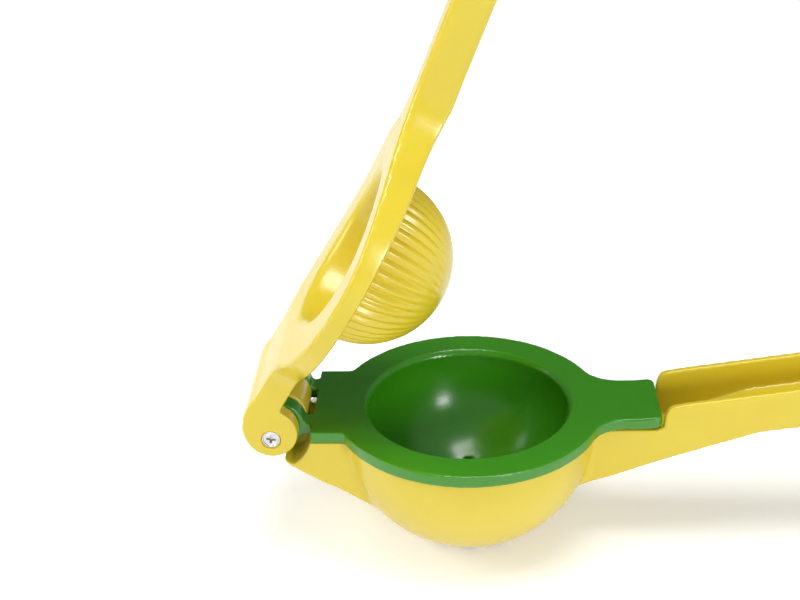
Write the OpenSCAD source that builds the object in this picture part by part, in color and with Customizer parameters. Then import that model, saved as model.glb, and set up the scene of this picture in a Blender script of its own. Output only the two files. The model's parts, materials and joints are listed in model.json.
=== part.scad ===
// Hinged lemon squeezer: three castings that turn on one pin behind the bowl.
// Units are millimetres. X runs from the pin towards the handles, Y across, Z up.
// The origin is the middle of the flat foot under the bowl.

/* [Lower bowl] */
// Outer radius of the bowl
bowl_r = 36.2; // [35.8:0.1:37.4]
// Depth of the bowl's centre below its rim
bowl_sink = 2.4; // [1:0.1:5]
// Wall of the bowl
bowl_wall = 2.8; // [2:0.1:3.2]
// Radius of the flat foot that the bowl stands on
foot_r = 12; // [9.5:0.5:14]
// Diameter of the drain holes
drain_d = 4; // [3:0.1:4.6]
// Number of drain holes in the inner ring; the outer ring has twice as many
drain_count = 6; // [4:1:7]
// Distance from the middle of the foot to the inner ring, and from ring to ring
drain_pitch = 7.3; // [7:0.1:7.5]

/* [Strainer cup] */
// Room all round between the cup and the bowl that it hangs in
cup_gap = 3; // [2.8:0.1:5]
// Depth of the cup's centre below its flange
cup_sink = 3; // [1:0.1:4]
// Wall of the cup
cup_wall = 2.2; // [1.6:0.1:2.4]
// Widening of the cup's mouth
cup_lip = 1.1; // [0.4:0.1:1.5]
// Outer radius of the flange
flange_r = 38; // [37.6:0.1:40]
// Thickness of the flange
flange_t = 3.5; // [3:0.1:4.5]
// Length of each drain slot
slot_l = 8; // [5:0.1:9]
// Width of each drain slot
slot_w = 2.6; // [2:0.1:3.2]
// Distance from the cup's middle to the near end of each slot
slot_start = 5; // [4.5:0.1:6]
// Number of drain slots
slot_count = 8; // [5:1:9]

/* [Cup tabs] */
// Reach of the front tab past the flange
front_tab_l = 15.5; // [10:0.1:20]
// Width of the front tab
front_tab_w = 21.6; // [20:0.1:26]
// Corner radius of the front tab
front_tab_corner = 2.2; // [1:0.1:6]
// Fillet where the front tab leaves the flange
front_tab_fillet = 10; // [5:0.5:12]
// Fillet where the hinge tab leaves the flange
rear_tab_fillet = 4; // [2:0.5:6]

/* [Hinge] */
// Distance from the bowl's centre to the pin
pin_x = 54; // [53:0.1:58]
// Diameter of the pin
pin_d = 4.9; // [4:0.1:5.5]
// Diameter of the screw inside the pin
screw_d = 3; // [2.5:0.1:3.2]
// Length of the screw's head
screw_head_l = 3; // [2:0.1:4]
// Length of the screw's shank
screw_shank_l = 13; // [8:0.5:18]
// Radius of the rounded hinge lobes
lobe_r = 7.3; // [6.5:0.1:7.6]
// Distance of the lobes' centre ahead of the pin
lobe_ahead = 1.6; // [0:0.1:1.8]
// Height of the lobes' centre above the pin
lobe_above = 0.8; // [0:0.1:1.4]
// Width of the middle knuckle on the lower arm
knuckle_w = 13; // [10:0.1:14]
// Width of each lug on the cup
lug_w = 5.5; // [4:0.1:6]
// Width of each ear on the press arm
ear_w = 5; // [4:0.1:6]
// Gap between neighbouring hinge leaves
leaf_gap = 0.4; // [0.3:0.05:0.6]
// Running gap all round the pin
pin_gap = 0.06; // [0.03:0.01:0.09]
// Gap round each hinge lobe where another casting turns past it
swing_gap = 0.5; // [0.4:0.05:0.8]
// Depth of the pin's ends below the faces of the ears
pin_inset = 0.3; // [0.1:0.1:0.8]
// Gap all round the screw's shank in the pin
thread_gap = 0.05; // [0.02:0.01:0.1]
// Gap between castings that close on each other
seat_gap = 0.3; // [0.2:0.05:0.5]
// Angle to which the press arm stands open
open_angle = 59.3; // [30:0.1:75]

/* [Press arm] */
// Radius of the press head
press_r = 37.3; // [36.5:0.1:39]
// Thickness in the middle of the dished back
press_t = 4.9; // [4:0.1:6]
// Radius of the dish towards the hinge
dish_rear_r = 190; // [150:5:240]
// Radius of the dish towards the handle
dish_front_r = 125; // [110:5:150]
// Fillet from the head into the handle
neck_fillet = 20; // [14:0.5:24]
// Fillet from the head into the ears
ear_fillet = 12; // [6:0.5:14]
// Room all round between the closed dome and the cup, for the pressed peel
dome_gap = 4.8; // [4:0.1:6]
// Wall of the pressing dome
dome_wall = 3.4; // [2.6:0.1:4]
// Widening of the hollow behind the dome at its mouth
mouth_flare = 3.5; // [2:0.1:4.5]
// Number of flutes round the dome
flute_count = 48; // [36:2:52]
// Depth of the flutes at the foot of the dome
flute_depth = 0.8; // [0.4:0.1:0.9]
// Radius of the flutes' rounded bottom
flute_r = 1.3; // [1:0.1:1.5]

/* [Handles] */
// Reach of the lower handle from the bowl's centre
handle_reach = 155; // [125:1:175]
// Wall that closes the far end of the lower handle's channel
end_wall = 4; // [3:0.5:8]
// Rise of the handles
handle_angle = 8.4; // [7:0.1:9.5]
// Width of the press handle
press_handle_w = 12.5; // [11:0.1:13]
// Height of the press handle
press_handle_h = 10.6; // [9:0.1:12]
// Wall of the lower handle on each side of its channel
handle_wall = 2.3; // [2:0.1:3]
// Gap on each side of the press handle where it closes into the channel
channel_gap = 1.85; // [0.5:0.05:2.1]
// Height of the lower handle
lower_handle_h = 12; // [11:0.1:14]
// Thickness of the lower handle under the channel
floor_t = 3; // [2.4:0.1:4]

/* [Hidden] */
$fn = 96;

yellow = [0.93, 0.82, 0.28];
green = [0.33, 0.6, 0.16];
steel = [0.78, 0.79, 0.8];
bite = 0.05;       // how far blended shapes run into each other
past = 1;          // how far a cut runs past a face

// heights, measured from the top of the cup's flange (the deck)
rim_z = -flange_t - seat_gap;
bowl_z = rim_z - bowl_sink;
bowl_inner_r = bowl_r - bowl_wall;
deck_z = sqrt(bowl_r * bowl_r - foot_r * foot_r) - bowl_z;
pin_z = -flange_t / 2;
cup_outer_r = bowl_inner_r - cup_gap;
cup_r = cup_outer_r - cup_wall;
dome_r = cup_r - dome_gap;

// hinge: widths across the stack, and the lobe shared by all leaves
lug_y = knuckle_w / 2 + leaf_gap;
ear_y = lug_y + lug_w + leaf_gap;
hinge_w = 2 * (ear_y + ear_w);
lobe_x = -pin_x + lobe_ahead;
lobe_z = pin_z + lobe_above;
lobe_reach = lobe_r + norm([lobe_ahead, lobe_above]);
cover_r = lobe_reach + swing_gap;      // inside of the press arm's plate over the hinge
cover_t = 0.6;
socket_r = cover_r + 0.9;              // hollow end of the neck
rear_tab_w = hinge_w - 2;
rear_tab_x = -pin_x + socket_r + 0.2;
neck_w = rear_tab_w - 1;

screw_face_y = -hinge_w / 2 + pin_inset + screw_head_l;

// handles
rise = tan(handle_angle);
press_half = press_handle_w / 2;
channel_w = press_handle_w + 2 * channel_gap;
lower_handle_w = channel_w + 2 * handle_wall;
front_tab_x = flange_r + front_tab_l;
step_x = front_tab_x + 0.5;
step_l = 7;
lower_top_z = 4.3;
taper_end_x = 80;
taper_start_x = 20;
taper_start_z = -26.9;
lip_x = -pin_x + 3.1;                  // lower lip of the neck's hollow end
lip_z = pin_z - socket_r + 1.8;
lip_t = 0.9;
web_gap = 0.6;                         // room between the web and the tab above it
web_drop = 5;
neck_root_x = -20;
neck_root_z = -30.4;
neck_fall = (neck_root_z - lip_z) / (neck_root_x - lip_x);
channel_start_x = bowl_r + 4;
press_reach = handle_reach - end_wall - 2 * channel_gap;

// dished back of the press arm
dish_x = 1;
dish_end_x = -31;
dish_top_z = press_t + seat_gap;
dome_z = seat_gap - 1.5;
dish_join_x = dish_x + dish_front_r * sin(handle_angle);
brow_x = -pin_x + 6.5;
brow_z = pin_z + cover_r + cover_t;
brow_drop = 0.3;
plate_end_x = -pin_x + 2.7;

// the lower handle's step up behind the front tab, which ends in a rounded shoulder
shoulder = 3;
shoulder_drop = 0.7;

function rear_dish(x) = dish_top_z + dish_rear_r - sqrt(dish_rear_r ^ 2 - (x - dish_x) ^ 2);
function front_dish(x) = dish_top_z + dish_front_r - sqrt(dish_front_r ^ 2 - (x - dish_x) ^ 2);
function press_top(x) = front_dish(dish_join_x) + rise * (x - dish_join_x);
function lower_top(x) = lower_top_z + rise * (x - step_x - step_l);
function under_z(x) = taper_start_z + under_rise * (x - taper_start_x);
function on_lobe(angle, r = lobe_r) = [lobe_x + r * cos(angle), lobe_z + r * sin(angle)];

under_rise = (lower_top(taper_end_x) - lower_handle_h - taper_start_z) / (taper_end_x - taper_start_x);

// A side outline in X and Z, drawn out across Y
module across(width, y = 0) {
    translate([0, y, 0]) rotate([90, 0, 0]) linear_extrude(width, center = true) children();
}

// A plan outline in X and Y, drawn up from z = low to z = high
module upright(low, high) {
    translate([0, 0, low]) linear_extrude(high - low) children();
}

// A round bar across the hinge, on the pin's axis
module cross_bar(d, width, y = 0) {
    translate([-pin_x, y, pin_z]) rotate([90, 0, 0]) cylinder(d = d, h = width, center = true);
}

module lobe() {
    translate([lobe_x, lobe_z]) circle(lobe_r);
}

// Plan of the two concave corners where a bar of half width w leaves a disc of radius r
module corners(r, w, fillet) {
    reach = r + fillet - bite;
    x = sqrt(reach * reach - (w + fillet) * (w + fillet));
    for (side = [-1, 1])
        difference() {
            polygon([[0, 0], [x, side * (w + fillet)] * (r - bite) / reach,
                     [x, side * (w + fillet)], [x, 0]]);
            translate([x, side * (w + fillet)]) circle(fillet);
        }
}

// Plan of a bar along X with a round far end
module round_bar(start, end, width) {
    translate([start, -width / 2]) square([end - width / 2 - start, width]);
    translate([end - width / 2, 0]) circle(d = width);
}

// Everything below is drawn from the deck, then raised onto the foot
module on_foot() {
    translate([0, 0, deck_z]) children();
}

/* ---------------------------------------------------------------- lower arm */

// Side outline of the solid neck between the bowl and the hinge
module neck_side() {
    difference() {
        polygon([[lip_x, lip_z], [lip_x, rim_z], [0, rim_z], [neck_root_x, neck_root_z]]);
        intersection() {
            translate([-pin_x, pin_z]) circle(socket_r);
            polygon([for (x = [lip_x - past, socket_r - pin_x]) [x, lip_z + lip_t + neck_fall * (x - lip_x)],
                     [socket_r - pin_x, pin_z + socket_r], [lip_x - past, pin_z + socket_r]]);
        }
    }
}

// Side outline of the web that carries the middle knuckle
module web_side() {
    intersection() {
        polygon([[-pin_x, pin_z], [lobe_x + lobe_r, rim_z - web_gap],
                 [rear_tab_x + past, rim_z - web_gap], [rear_tab_x + past, lip_z - web_drop],
                 [lip_x, lip_z], [lip_x - 2 * past, lip_z + 2 * past]]);
        translate([-pin_x, pin_z]) circle(socket_r + 4 * past);
    }
}

// Side outline of the lower handle
module lower_handle_side() {
    polygon([[0, rim_z], [step_x, rim_z], [step_x, 0],
             [step_x + shoulder / 3, lower_top_z - 3 * shoulder_drop],
             [step_x + shoulder, lower_top_z - shoulder_drop],
             [step_x + step_l, lower_top_z], [handle_reach, lower_top(handle_reach)],
             [handle_reach, lower_top(handle_reach) - lower_handle_h],
             [taper_end_x, lower_top(taper_end_x) - lower_handle_h],
             [taper_start_x, taper_start_z]]);
}

// Side outline of the channel that the press handle closes into
module channel_side() {
    end_x = handle_reach - end_wall;
    polygon([[channel_start_x, under_z(channel_start_x) + floor_t / cos(atan(under_rise))],
             [taper_end_x, lower_top(taper_end_x) - lower_handle_h + floor_t],
             [end_x, lower_top(end_x) - lower_handle_h + floor_t],
             [end_x, lower_top(end_x) + past], [step_x + step_l, lower_top_z + 3 * past],
             [channel_start_x, lower_top_z]]);
}

module bowl_inside() {
    translate([0, 0, bowl_z]) sphere(bowl_inner_r);
}

module bowl_drains() {
    for (ring = [1, 2], i = [1:ring * drain_count])
        rotate([0, 0, i * 360 / ring / drain_count]) translate([ring * drain_pitch, 0, -deck_z - past])
            cylinder(d = drain_d, h = 4 * bowl_wall);
}

module lower_arm() {
    color(yellow) on_foot() difference() {
        union() {
            intersection() {
                translate([0, 0, bowl_z]) sphere(bowl_r);
                upright(-deck_z, rim_z) circle(bowl_r + past);
            }
            intersection() {
                across(2 * bowl_r) neck_side();
                upright(-deck_z, rim_z) translate([lip_x, -neck_w / 2]) square([-lip_x, neck_w]);
            }
            across(knuckle_w) lobe();
            across(knuckle_w) web_side();
            intersection() {
                across(2 * bowl_r) lower_handle_side();
                upright(-deck_z, lower_top(handle_reach) + past) {
                    round_bar(0, handle_reach, lower_handle_w);
                    corners(bowl_r - 1, lower_handle_w / 2, front_tab_fillet);
                }
            }
        }
        bowl_inside();
        bowl_drains();
        intersection() {
            across(channel_w) channel_side();
            upright(-deck_z, lower_top(handle_reach) + 2 * past)
                round_bar(channel_start_x - past, handle_reach - end_wall, channel_w);
        }
        cross_bar(pin_d + 2 * pin_gap, knuckle_w + 2 * past);
    }
}

/* ------------------------------------------------------------- strainer cup */

module front_tab_plan() {
    round_x = front_tab_x - front_tab_corner;
    half = front_tab_w / 2;
    translate([0, -half]) square([round_x, front_tab_w]);
    translate([0, front_tab_corner - half]) square([front_tab_x, front_tab_w - 2 * front_tab_corner]);
    for (side = [-1, 1])
        translate([round_x, side * (half - front_tab_corner)]) circle(front_tab_corner);
    corners(flange_r, half, front_tab_fillet);
}

module flange_plan() {
    circle(flange_r);
    front_tab_plan();
    translate([rear_tab_x, -rear_tab_w / 2]) square([-rear_tab_x, rear_tab_w]);
    mirror([1, 0]) corners(flange_r, rear_tab_w / 2, rear_tab_fillet);
}

// Side outline of a lug: the lobe and the arm that joins it to the flange
module lug_side() {
    lobe();
    polygon([[lobe_x, lobe_z], on_lobe(-60), [lobe_x + lobe_r - 1, -flange_t], [rear_tab_x + 1, -flange_t],
             [rear_tab_x + 1, 0], [lobe_x + lobe_r - 0.4, 0], on_lobe(30)]);
}

module drain_slots() {
    slot_mid_r = slot_start + slot_l / 2;
    for (i = [1:slot_count])
        rotate([0, 0, i * 360 / slot_count]) translate([slot_mid_r, 0, -cup_sink - cup_outer_r - past]) {
            translate([-(slot_l - slot_w) / 2, -slot_w / 2, 0]) cube([slot_l - slot_w, slot_w, cup_r / 2]);
            for (end = [-1, 1])
                translate([end * (slot_l - slot_w) / 2, 0, 0]) cylinder(d = slot_w, h = cup_r / 2);
        }
}

module strainer_cup() {
    color(green) on_foot() difference() {
        union() {
            intersection() {
                translate([0, 0, -cup_sink]) sphere(cup_outer_r);
                upright(-deck_z, -flange_t / 2) circle(flange_r);
            }
            upright(-flange_t, 0) flange_plan();
            for (side = [-1, 1]) across(lug_w, side * (lug_y + lug_w / 2)) lug_side();
        }
        translate([0, 0, -cup_sink]) sphere(cup_r);
        translate([0, 0, -cup_sink])
            cylinder(r1 = cup_r - past, r2 = cup_r + cup_lip, h = cup_sink + bite);
        drain_slots();
        cross_bar(pin_d + 2 * pin_gap, hinge_w);
    }
}

/* ---------------------------------------------------------------- press arm */

module press_plan() {
    circle(press_r);
    round_bar(0, press_reach, press_handle_w);
    corners(press_r, press_half, neck_fillet);
    translate([plate_end_x, -hinge_w / 2]) square([-plate_end_x, hinge_w]);
    mirror([1, 0]) corners(press_r, hinge_w / 2, ear_fillet);
}

// Side outline of head and handle: flat below, dished on the back
module press_side() {
    under_x = dish_join_x + (press_handle_h + seat_gap - front_dish(dish_join_x)) / rise;
    polygon([[plate_end_x, seat_gap], [under_x, seat_gap],
             [press_reach, press_top(press_reach) - press_handle_h],
             [press_reach, press_top(press_reach)],
             for (i = [0:4]) let (x = dish_join_x + (dish_x - dish_join_x) * i / 4) [x, front_dish(x)],
             for (i = [1:7]) let (x = dish_x + (dish_end_x - dish_x) * i / 7) [x, rear_dish(x)],
             [brow_x + 3, brow_z - 2 * brow_drop], [brow_x, brow_z], [plate_end_x, brow_z - brow_drop]]);
}

// Side outline of an ear: the lobe and the shoulder that rises to the brow
module ear_side() {
    lobe();
    polygon([[lobe_x, seat_gap], [brow_x + 3, seat_gap], [brow_x + 3, brow_z - 2 * brow_drop],
             [brow_x, brow_z], [plate_end_x, brow_z - brow_drop], on_lobe(107, lobe_r + 0.85),
             on_lobe(127, lobe_r + 0.3), on_lobe(145)]);
}

// Plan of the dome with its flutes, which run out where the dome curves in below them
module dome_plan() {
    difference() {
        circle(dome_r + bite);
        for (i = [1:flute_count])
            rotate([0, 0, (i - 0.5) * 360 / flute_count])
                translate([dome_r + flute_r - flute_depth, 0]) circle(flute_r);
    }
}

module dome() {
    intersection() {
        sphere(dome_r);
        upright(-dome_r - past, seat_gap - dome_z + past) dome_plan();
    }
}

module press_closed() {
    difference() {
        union() {
            intersection() {
                upright(-past, press_top(press_reach) + past) press_plan();
                across(2 * press_r + 2) press_side();
            }
            for (side = [-1, 1]) across(ear_w, side * (ear_y + ear_w / 2)) ear_side();
            translate([0, 0, dome_z]) dome();
        }
        translate([0, 0, dome_z]) {
            sphere(dome_r - dome_wall);
            cylinder(r1 = dome_r - dome_wall - bite, r2 = dome_r - dome_wall + mouth_flare,
                     h = 2 * press_t);
        }
        cross_bar(2 * cover_r, 2 * ear_y);
        cross_bar(pin_d, hinge_w + 2 * past);
    }
}

// Turns what closes at rest on the cup to the open angle, about the pin
module swung_open() {
    translate([-pin_x, 0, pin_z]) rotate([0, -open_angle, 0]) translate([pin_x, 0, -pin_z]) children();
}

module press_arm() {
    color(yellow) on_foot() swung_open() press_closed();
}

/* --------------------------------------------------------------------- pin */

module pin_barrel() {
    barrel_l = hinge_w - screw_head_l - 2 * pin_inset;
    bore_l = screw_shank_l + past;
    color(steel) on_foot() swung_open() difference() {
        cross_bar(pin_d, barrel_l, hinge_w / 2 - pin_inset - barrel_l / 2);
        cross_bar(screw_d + 2 * thread_gap, bore_l, screw_face_y + bore_l / 2 - past);
    }
}

module pin_screw() {
    recess_w = 0.26 * screw_d;
    recess_l = 0.92 * screw_d;
    recess_depth = 0.4 * screw_head_l;
    color(steel) on_foot() swung_open() difference() {
        union() {
            cross_bar(pin_d, screw_head_l, screw_face_y - screw_head_l / 2);
            cross_bar(screw_d, screw_shank_l, screw_face_y + screw_shank_l / 2 - past);
        }
        for (turn = [0, 90])
            translate([-pin_x, screw_face_y - screw_head_l, pin_z]) rotate([0, turn, 0])
                cube([recess_l, 2 * recess_depth, recess_w], center = true);
    }
}

lower_arm();
strainer_cup();
press_arm();
pin_barrel();
pin_screw();
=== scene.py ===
"""Hinged lemon squeezer, dressed for a studio shot.

Three enamelled castings turn on one steel pin: the lower arm with its bowl and channelled handle, the
strainer cup that hangs in the bowl, and the press arm with its fluted dome. Each piece is shaped in
millimetres in its closed place, with z = 0 on top of the cup's flange, and is then swung, raised and
scaled into the frame.
"""

from __future__ import annotations

import json
import logging
import math
from collections.abc import Callable, Iterator
from dataclasses import dataclass
from enum import Enum

import bpy
from mathutils import Matrix, Vector

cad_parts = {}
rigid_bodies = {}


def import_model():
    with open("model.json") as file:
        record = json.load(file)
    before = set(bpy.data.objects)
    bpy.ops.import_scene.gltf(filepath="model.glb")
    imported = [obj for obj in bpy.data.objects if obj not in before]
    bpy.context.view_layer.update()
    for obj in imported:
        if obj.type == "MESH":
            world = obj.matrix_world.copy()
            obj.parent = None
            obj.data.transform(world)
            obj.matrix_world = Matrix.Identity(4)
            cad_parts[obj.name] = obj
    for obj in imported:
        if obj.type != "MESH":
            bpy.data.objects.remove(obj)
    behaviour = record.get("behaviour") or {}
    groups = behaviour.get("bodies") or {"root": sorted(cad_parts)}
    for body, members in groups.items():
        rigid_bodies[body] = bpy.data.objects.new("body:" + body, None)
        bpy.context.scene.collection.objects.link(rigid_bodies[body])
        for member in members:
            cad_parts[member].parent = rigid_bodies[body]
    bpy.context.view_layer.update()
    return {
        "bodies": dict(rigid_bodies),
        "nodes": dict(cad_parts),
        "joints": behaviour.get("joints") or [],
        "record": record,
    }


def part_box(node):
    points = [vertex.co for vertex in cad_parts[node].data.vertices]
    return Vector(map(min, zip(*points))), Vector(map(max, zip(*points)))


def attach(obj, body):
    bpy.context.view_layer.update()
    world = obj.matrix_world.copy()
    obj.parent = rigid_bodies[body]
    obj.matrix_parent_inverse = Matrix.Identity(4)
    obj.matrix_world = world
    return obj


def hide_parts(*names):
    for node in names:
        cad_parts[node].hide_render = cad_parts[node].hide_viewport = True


LOG = logging.getLogger("lemon_squeezer")
MM = 0.001
AIM = (0, 0, 0.06)  # what the lamps face, in metres
TRIANGLE_LIMIT = 190_000
FOR_HOLES = 10_000  # triangles left free for what is drilled after thinning
FOR_DOME = 60_000  # triangles left free for the fluted dome
OUT_OF_THE_WAY = 60  # past anything on the bench, sideways, above or below
BEYOND = 40  # past the sides and the underside of the neck and the handles
PAST = 1  # how far a cut runs past a face
WELD = 0.001  # points closer than this become one
ROUND_STEPS = 96  # faces round every post and lathed piece
WIDE = 50  # radius of a cutter that covers the head or the cup
LARGE_FACES = 70  # how far large faces lead the shading

Piece = bpy.types.Object
Socket = bpy.types.NodeSocket
Place = tuple[float, float, float]
Point = tuple[float, float]
Outline = list[Point]
Colour = tuple[float, float, float]
Share = Callable[[Vector], float]


class Body(Enum):
    """The rigid bodies that pieces ride on."""

    BOWL_ARM = "bowl_arm"
    CUP = "cup"
    PRESS = "press"


class Slot(Enum):
    """The record's material slots."""

    YELLOW = "yellow_enamel"
    GREEN = "green_enamel"
    STEEL = "pin_steel"


class Drawn(Enum):
    """The plane in which an outline is drawn."""

    SIDE = "side"
    PLAN = "plan"


class Join(Enum):
    """How one solid acts on another."""

    ADD = "UNION"
    CUT = "DIFFERENCE"
    KEEP_SHARED = "INTERSECT"


class Change(Enum):
    """What a modifier does to a piece."""

    COMBINE = "BOOLEAN"
    SKIN = "REMESH"
    PUSH = "DISPLACE"
    RUB = "SMOOTH"
    MERGE = "DECIMATE"
    SPLIT = "SUBSURF"
    SHADE = "WEIGHTED_NORMAL"


class Along(Enum):
    """The way in which a push moves points."""

    NORMAL = "NORMAL"
    UP = "Z"


# --------------------------------------------------------------------------- outlines


def ease(value: float, start: float, end: float) -> float:
    """A smooth step from 0 at start to 1 at end, which may lie either way round."""
    t = min(1.0, max(0.0, (value - start) / (end - start)))
    return t * t * (3 - 2 * t)


def arc(centre: Point, radius: float, start: float, end: float, steps: int) -> Outline:
    """Points along a circular arc.

    Args:
        centre: Middle of the circle.
        radius: Radius of the circle.
        start: First angle, in degrees.
        end: Last angle, in degrees.
        steps: Number of equal steps between them.

    Returns:
        steps + 1 points, both ends among them.
    """
    angles = (math.radians(start + (end - start) * i / steps) for i in range(steps + 1))
    return [(centre[0] + radius * math.cos(a), centre[1] + radius * math.sin(a)) for a in angles]


def concave_corner(ring: float, half: float, fillet: float, steps: int = 12) -> tuple[Outline, float]:
    """The fillet between a bar along +X and the ring that it leaves.

    Args:
        ring: Radius of the ring.
        half: Half the bar's width.
        fillet: Radius of the fillet.
        steps: Number of steps along it.

    Returns:
        Its points, from the bar to the ring, and the angle on the ring where it ends, in degrees.
    """
    rise = half + fillet
    reach = math.sqrt((ring + fillet) ** 2 - rise**2)
    angle = math.degrees(math.atan2(rise, reach))
    return arc((reach, rise), fillet, 270, 180 + angle, steps), angle


def round_end(end: float, half: float, steps: int = 14) -> Outline:
    """The upper quarter of a bar's round end, from the X axis up."""
    return arc((end - half, 0), half, 0, 90, steps)


def flipped(outline: Outline) -> Outline:
    """The outline turned to the other side of the Y axis, in reverse order."""
    return [(-x, y) for x, y in reversed(outline)]


def both_sides(upper: Outline) -> Outline:
    """Closes an outline drawn above the X axis with its mirror image below it."""
    return upper + [(x, -y) for x, y in reversed(upper) if abs(y) > 1e-6]


# --------------------------------------------------------------------------- modelling


class Bench:
    """Shapes solids with Blender's own operators, in millimetres."""

    @staticmethod
    def clear() -> None:
        """Leaves edit mode and deselects everything."""
        if bpy.context.object and bpy.context.object.mode != "OBJECT":
            bpy.ops.object.mode_set(mode="OBJECT")
        bpy.ops.object.select_all(action="DESELECT")

    @staticmethod
    def pick(piece: Piece) -> None:
        """Makes one piece the only one selected, and active."""
        Bench.clear()
        piece.select_set(True)
        bpy.context.view_layer.objects.active = piece

    @staticmethod
    def change(piece: Piece, kind: Change, share: Share | None = None, **settings: object) -> None:
        """Changes a piece with one modifier.

        Args:
            piece: The piece.
            kind: What is done to it.
            share: How much of that each place gets from 0 to 1, or None for all of it.
            settings: The modifier's settings.
        """
        Bench.pick(piece)
        modifier = piece.modifiers.new(kind.name, kind.value)
        for name, value in settings.items():
            setattr(modifier, name, value)
        if share:
            group = piece.vertex_groups.new(name="share")
            for vertex in piece.data.vertices:
                weight = share(vertex.co)
                if weight > 0:
                    group.add([vertex.index], weight, "REPLACE")
            modifier.vertex_group = group.name
        bpy.ops.object.modifier_apply(modifier=modifier.name)
        piece.vertex_groups.clear()

    @staticmethod
    def draw(spots: list[Vector]) -> None:
        """Draws a chain of edges through the spots and stays in edit mode."""
        Bench.clear()
        bpy.ops.mesh.primitive_plane_add(size=1, location=spots[0])
        bpy.ops.object.transform_apply(location=True)
        bpy.ops.object.mode_set(mode="EDIT")
        bpy.ops.mesh.select_all(action="SELECT")
        bpy.ops.mesh.merge(type="CENTER")
        for before, after in zip(spots, spots[1:]):
            bpy.ops.mesh.extrude_region_move(TRANSFORM_OT_translate={"value": after - before})
        bpy.ops.mesh.select_all(action="SELECT")

    @staticmethod
    def outward() -> Piece:
        """Turns every face of the piece in edit mode outwards and leaves edit mode."""
        bpy.ops.mesh.select_all(action="SELECT")
        bpy.ops.mesh.normals_make_consistent(inside=False)
        bpy.ops.object.mode_set(mode="OBJECT")
        return bpy.context.object

    @staticmethod
    def outline(drawn: Drawn, points: Outline, low: float, high: float, taper: float = 1) -> Piece:
        """Fills an outline and extrudes it into a solid.

        Args:
            drawn: SIDE for an outline in X and Z, PLAN for one in X and Y.
            points: The outline's corners in order.
            low: Where the solid starts, along Y for SIDE and along Z for PLAN.
            high: Where it ends.
            taper: Size of its end across Y, as a share of its start.

        Returns:
            The closed solid.
        """
        side = drawn is Drawn.SIDE
        Bench.draw([Vector((x, low, other) if side else (x, other, low)) for x, other in points])
        bpy.ops.mesh.edge_face_add()
        depth = Vector((0, high - low, 0) if side else (0, 0, high - low))
        bpy.ops.mesh.extrude_region_move(TRANSFORM_OT_translate={"value": depth})
        bpy.ops.transform.resize(value=(1, taper, 1))
        return Bench.outward()

    @staticmethod
    def lathe(profile: Outline, axis: Point) -> Piece:
        """Spins a profile about an axis along Y.

        Args:
            profile: Radius and place along Y, from one end of the axis to the other.
            axis: The axis in X and Z.

        Returns:
            The closed solid.
        """
        Bench.draw([Vector((axis[0] + radius, y, axis[1])) for radius, y in profile])
        centre = (axis[0], 0, axis[1])
        bpy.ops.mesh.spin(
            steps=ROUND_STEPS, angle=math.tau, center=centre, axis=(0, 1, 0), use_auto_merge=False
        )
        bpy.ops.mesh.select_all(action="SELECT")
        bpy.ops.mesh.remove_doubles(threshold=WELD)
        return Bench.outward()

    @staticmethod
    def ball(radius: float, height: float, segments: int = 128, rings: int = 64) -> Piece:
        """A sphere on the Z axis whose centre lies at the given height."""
        Bench.clear()
        bpy.ops.mesh.primitive_uv_sphere_add(
            segments=segments, ring_count=rings, radius=radius, location=(0, 0, height)
        )
        bpy.ops.object.transform_apply(location=True)
        return bpy.context.object

    @staticmethod
    def post(low_r: float, high_r: float, low: float, high: float, at: Point = (0, 0)) -> Piece:
        """A round post or cone along Z.

        Args:
            low_r: Radius of its lower end.
            high_r: Radius of its upper end.
            low: Height of its lower end.
            high: Height of its upper end.
            at: Its axis in X and Y.

        Returns:
            The closed solid.
        """
        Bench.clear()
        middle = (at[0], at[1], (low + high) / 2)
        bpy.ops.mesh.primitive_cone_add(
            vertices=ROUND_STEPS, radius1=low_r, radius2=high_r, depth=high - low, location=middle
        )
        bpy.ops.object.transform_apply(location=True)
        return bpy.context.object

    @staticmethod
    def combine(base: Piece, how: Join, *tools: Piece) -> Piece:
        """Joins tools to a base, cuts them from it or keeps what they share, and removes them.

        Args:
            base: The solid that is changed.
            how: What is done with each tool.
            tools: The solids that act on it.

        Returns:
            The base.
        """
        for tool in tools:
            Bench.change(base, Change.COMBINE, operation=how.value, solver="MANIFOLD", object=tool)
            bpy.data.objects.remove(tool)
        return base

    @staticmethod
    def crossed(side: Outline, plan: Outline, across: Point, up: Point) -> Piece:
        """Shapes a solid by its outlines from two sides.

        Args:
            side: Its outline in X and Z.
            plan: Its outline in X and Y.
            across: Where the side's outline starts and ends along Y.
            up: Where the plan's outline starts and ends along Z.

        Returns:
            What the two extruded outlines share.
        """
        base = Bench.outline(Drawn.SIDE, side, *across)
        return Bench.combine(base, Join.KEEP_SHARED, Bench.outline(Drawn.PLAN, plan, *up))

    @staticmethod
    def reskin(piece: Piece, grain: float) -> None:
        """Covers a solid with one even skin of small faces."""
        Bench.change(piece, Change.SKIN, mode="VOXEL", voxel_size=grain)

    @staticmethod
    def push(piece: Piece, amount: float, share: Share, along: Along = Along.NORMAL) -> None:
        """Moves a skin outwards, or inwards if the amount is negative.

        Args:
            piece: The piece.
            amount: How far a point with a full share moves.
            share: The share at each place.
            along: The way in which points move.
        """
        Bench.change(piece, Change.PUSH, share, strength=amount, mid_level=0, direction=along.value)

    @staticmethod
    def rub(piece: Piece, passes: int, share: Share | None = None) -> None:
        """Softens the edges of a fine skin.

        Args:
            piece: The skinned solid.
            passes: How often each point moves half way to its neighbours' middle.
            share: How much of that each place gets, or None for all of it.
        """
        Bench.change(piece, Change.RUB, share, factor=0.5, iterations=passes)

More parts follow.
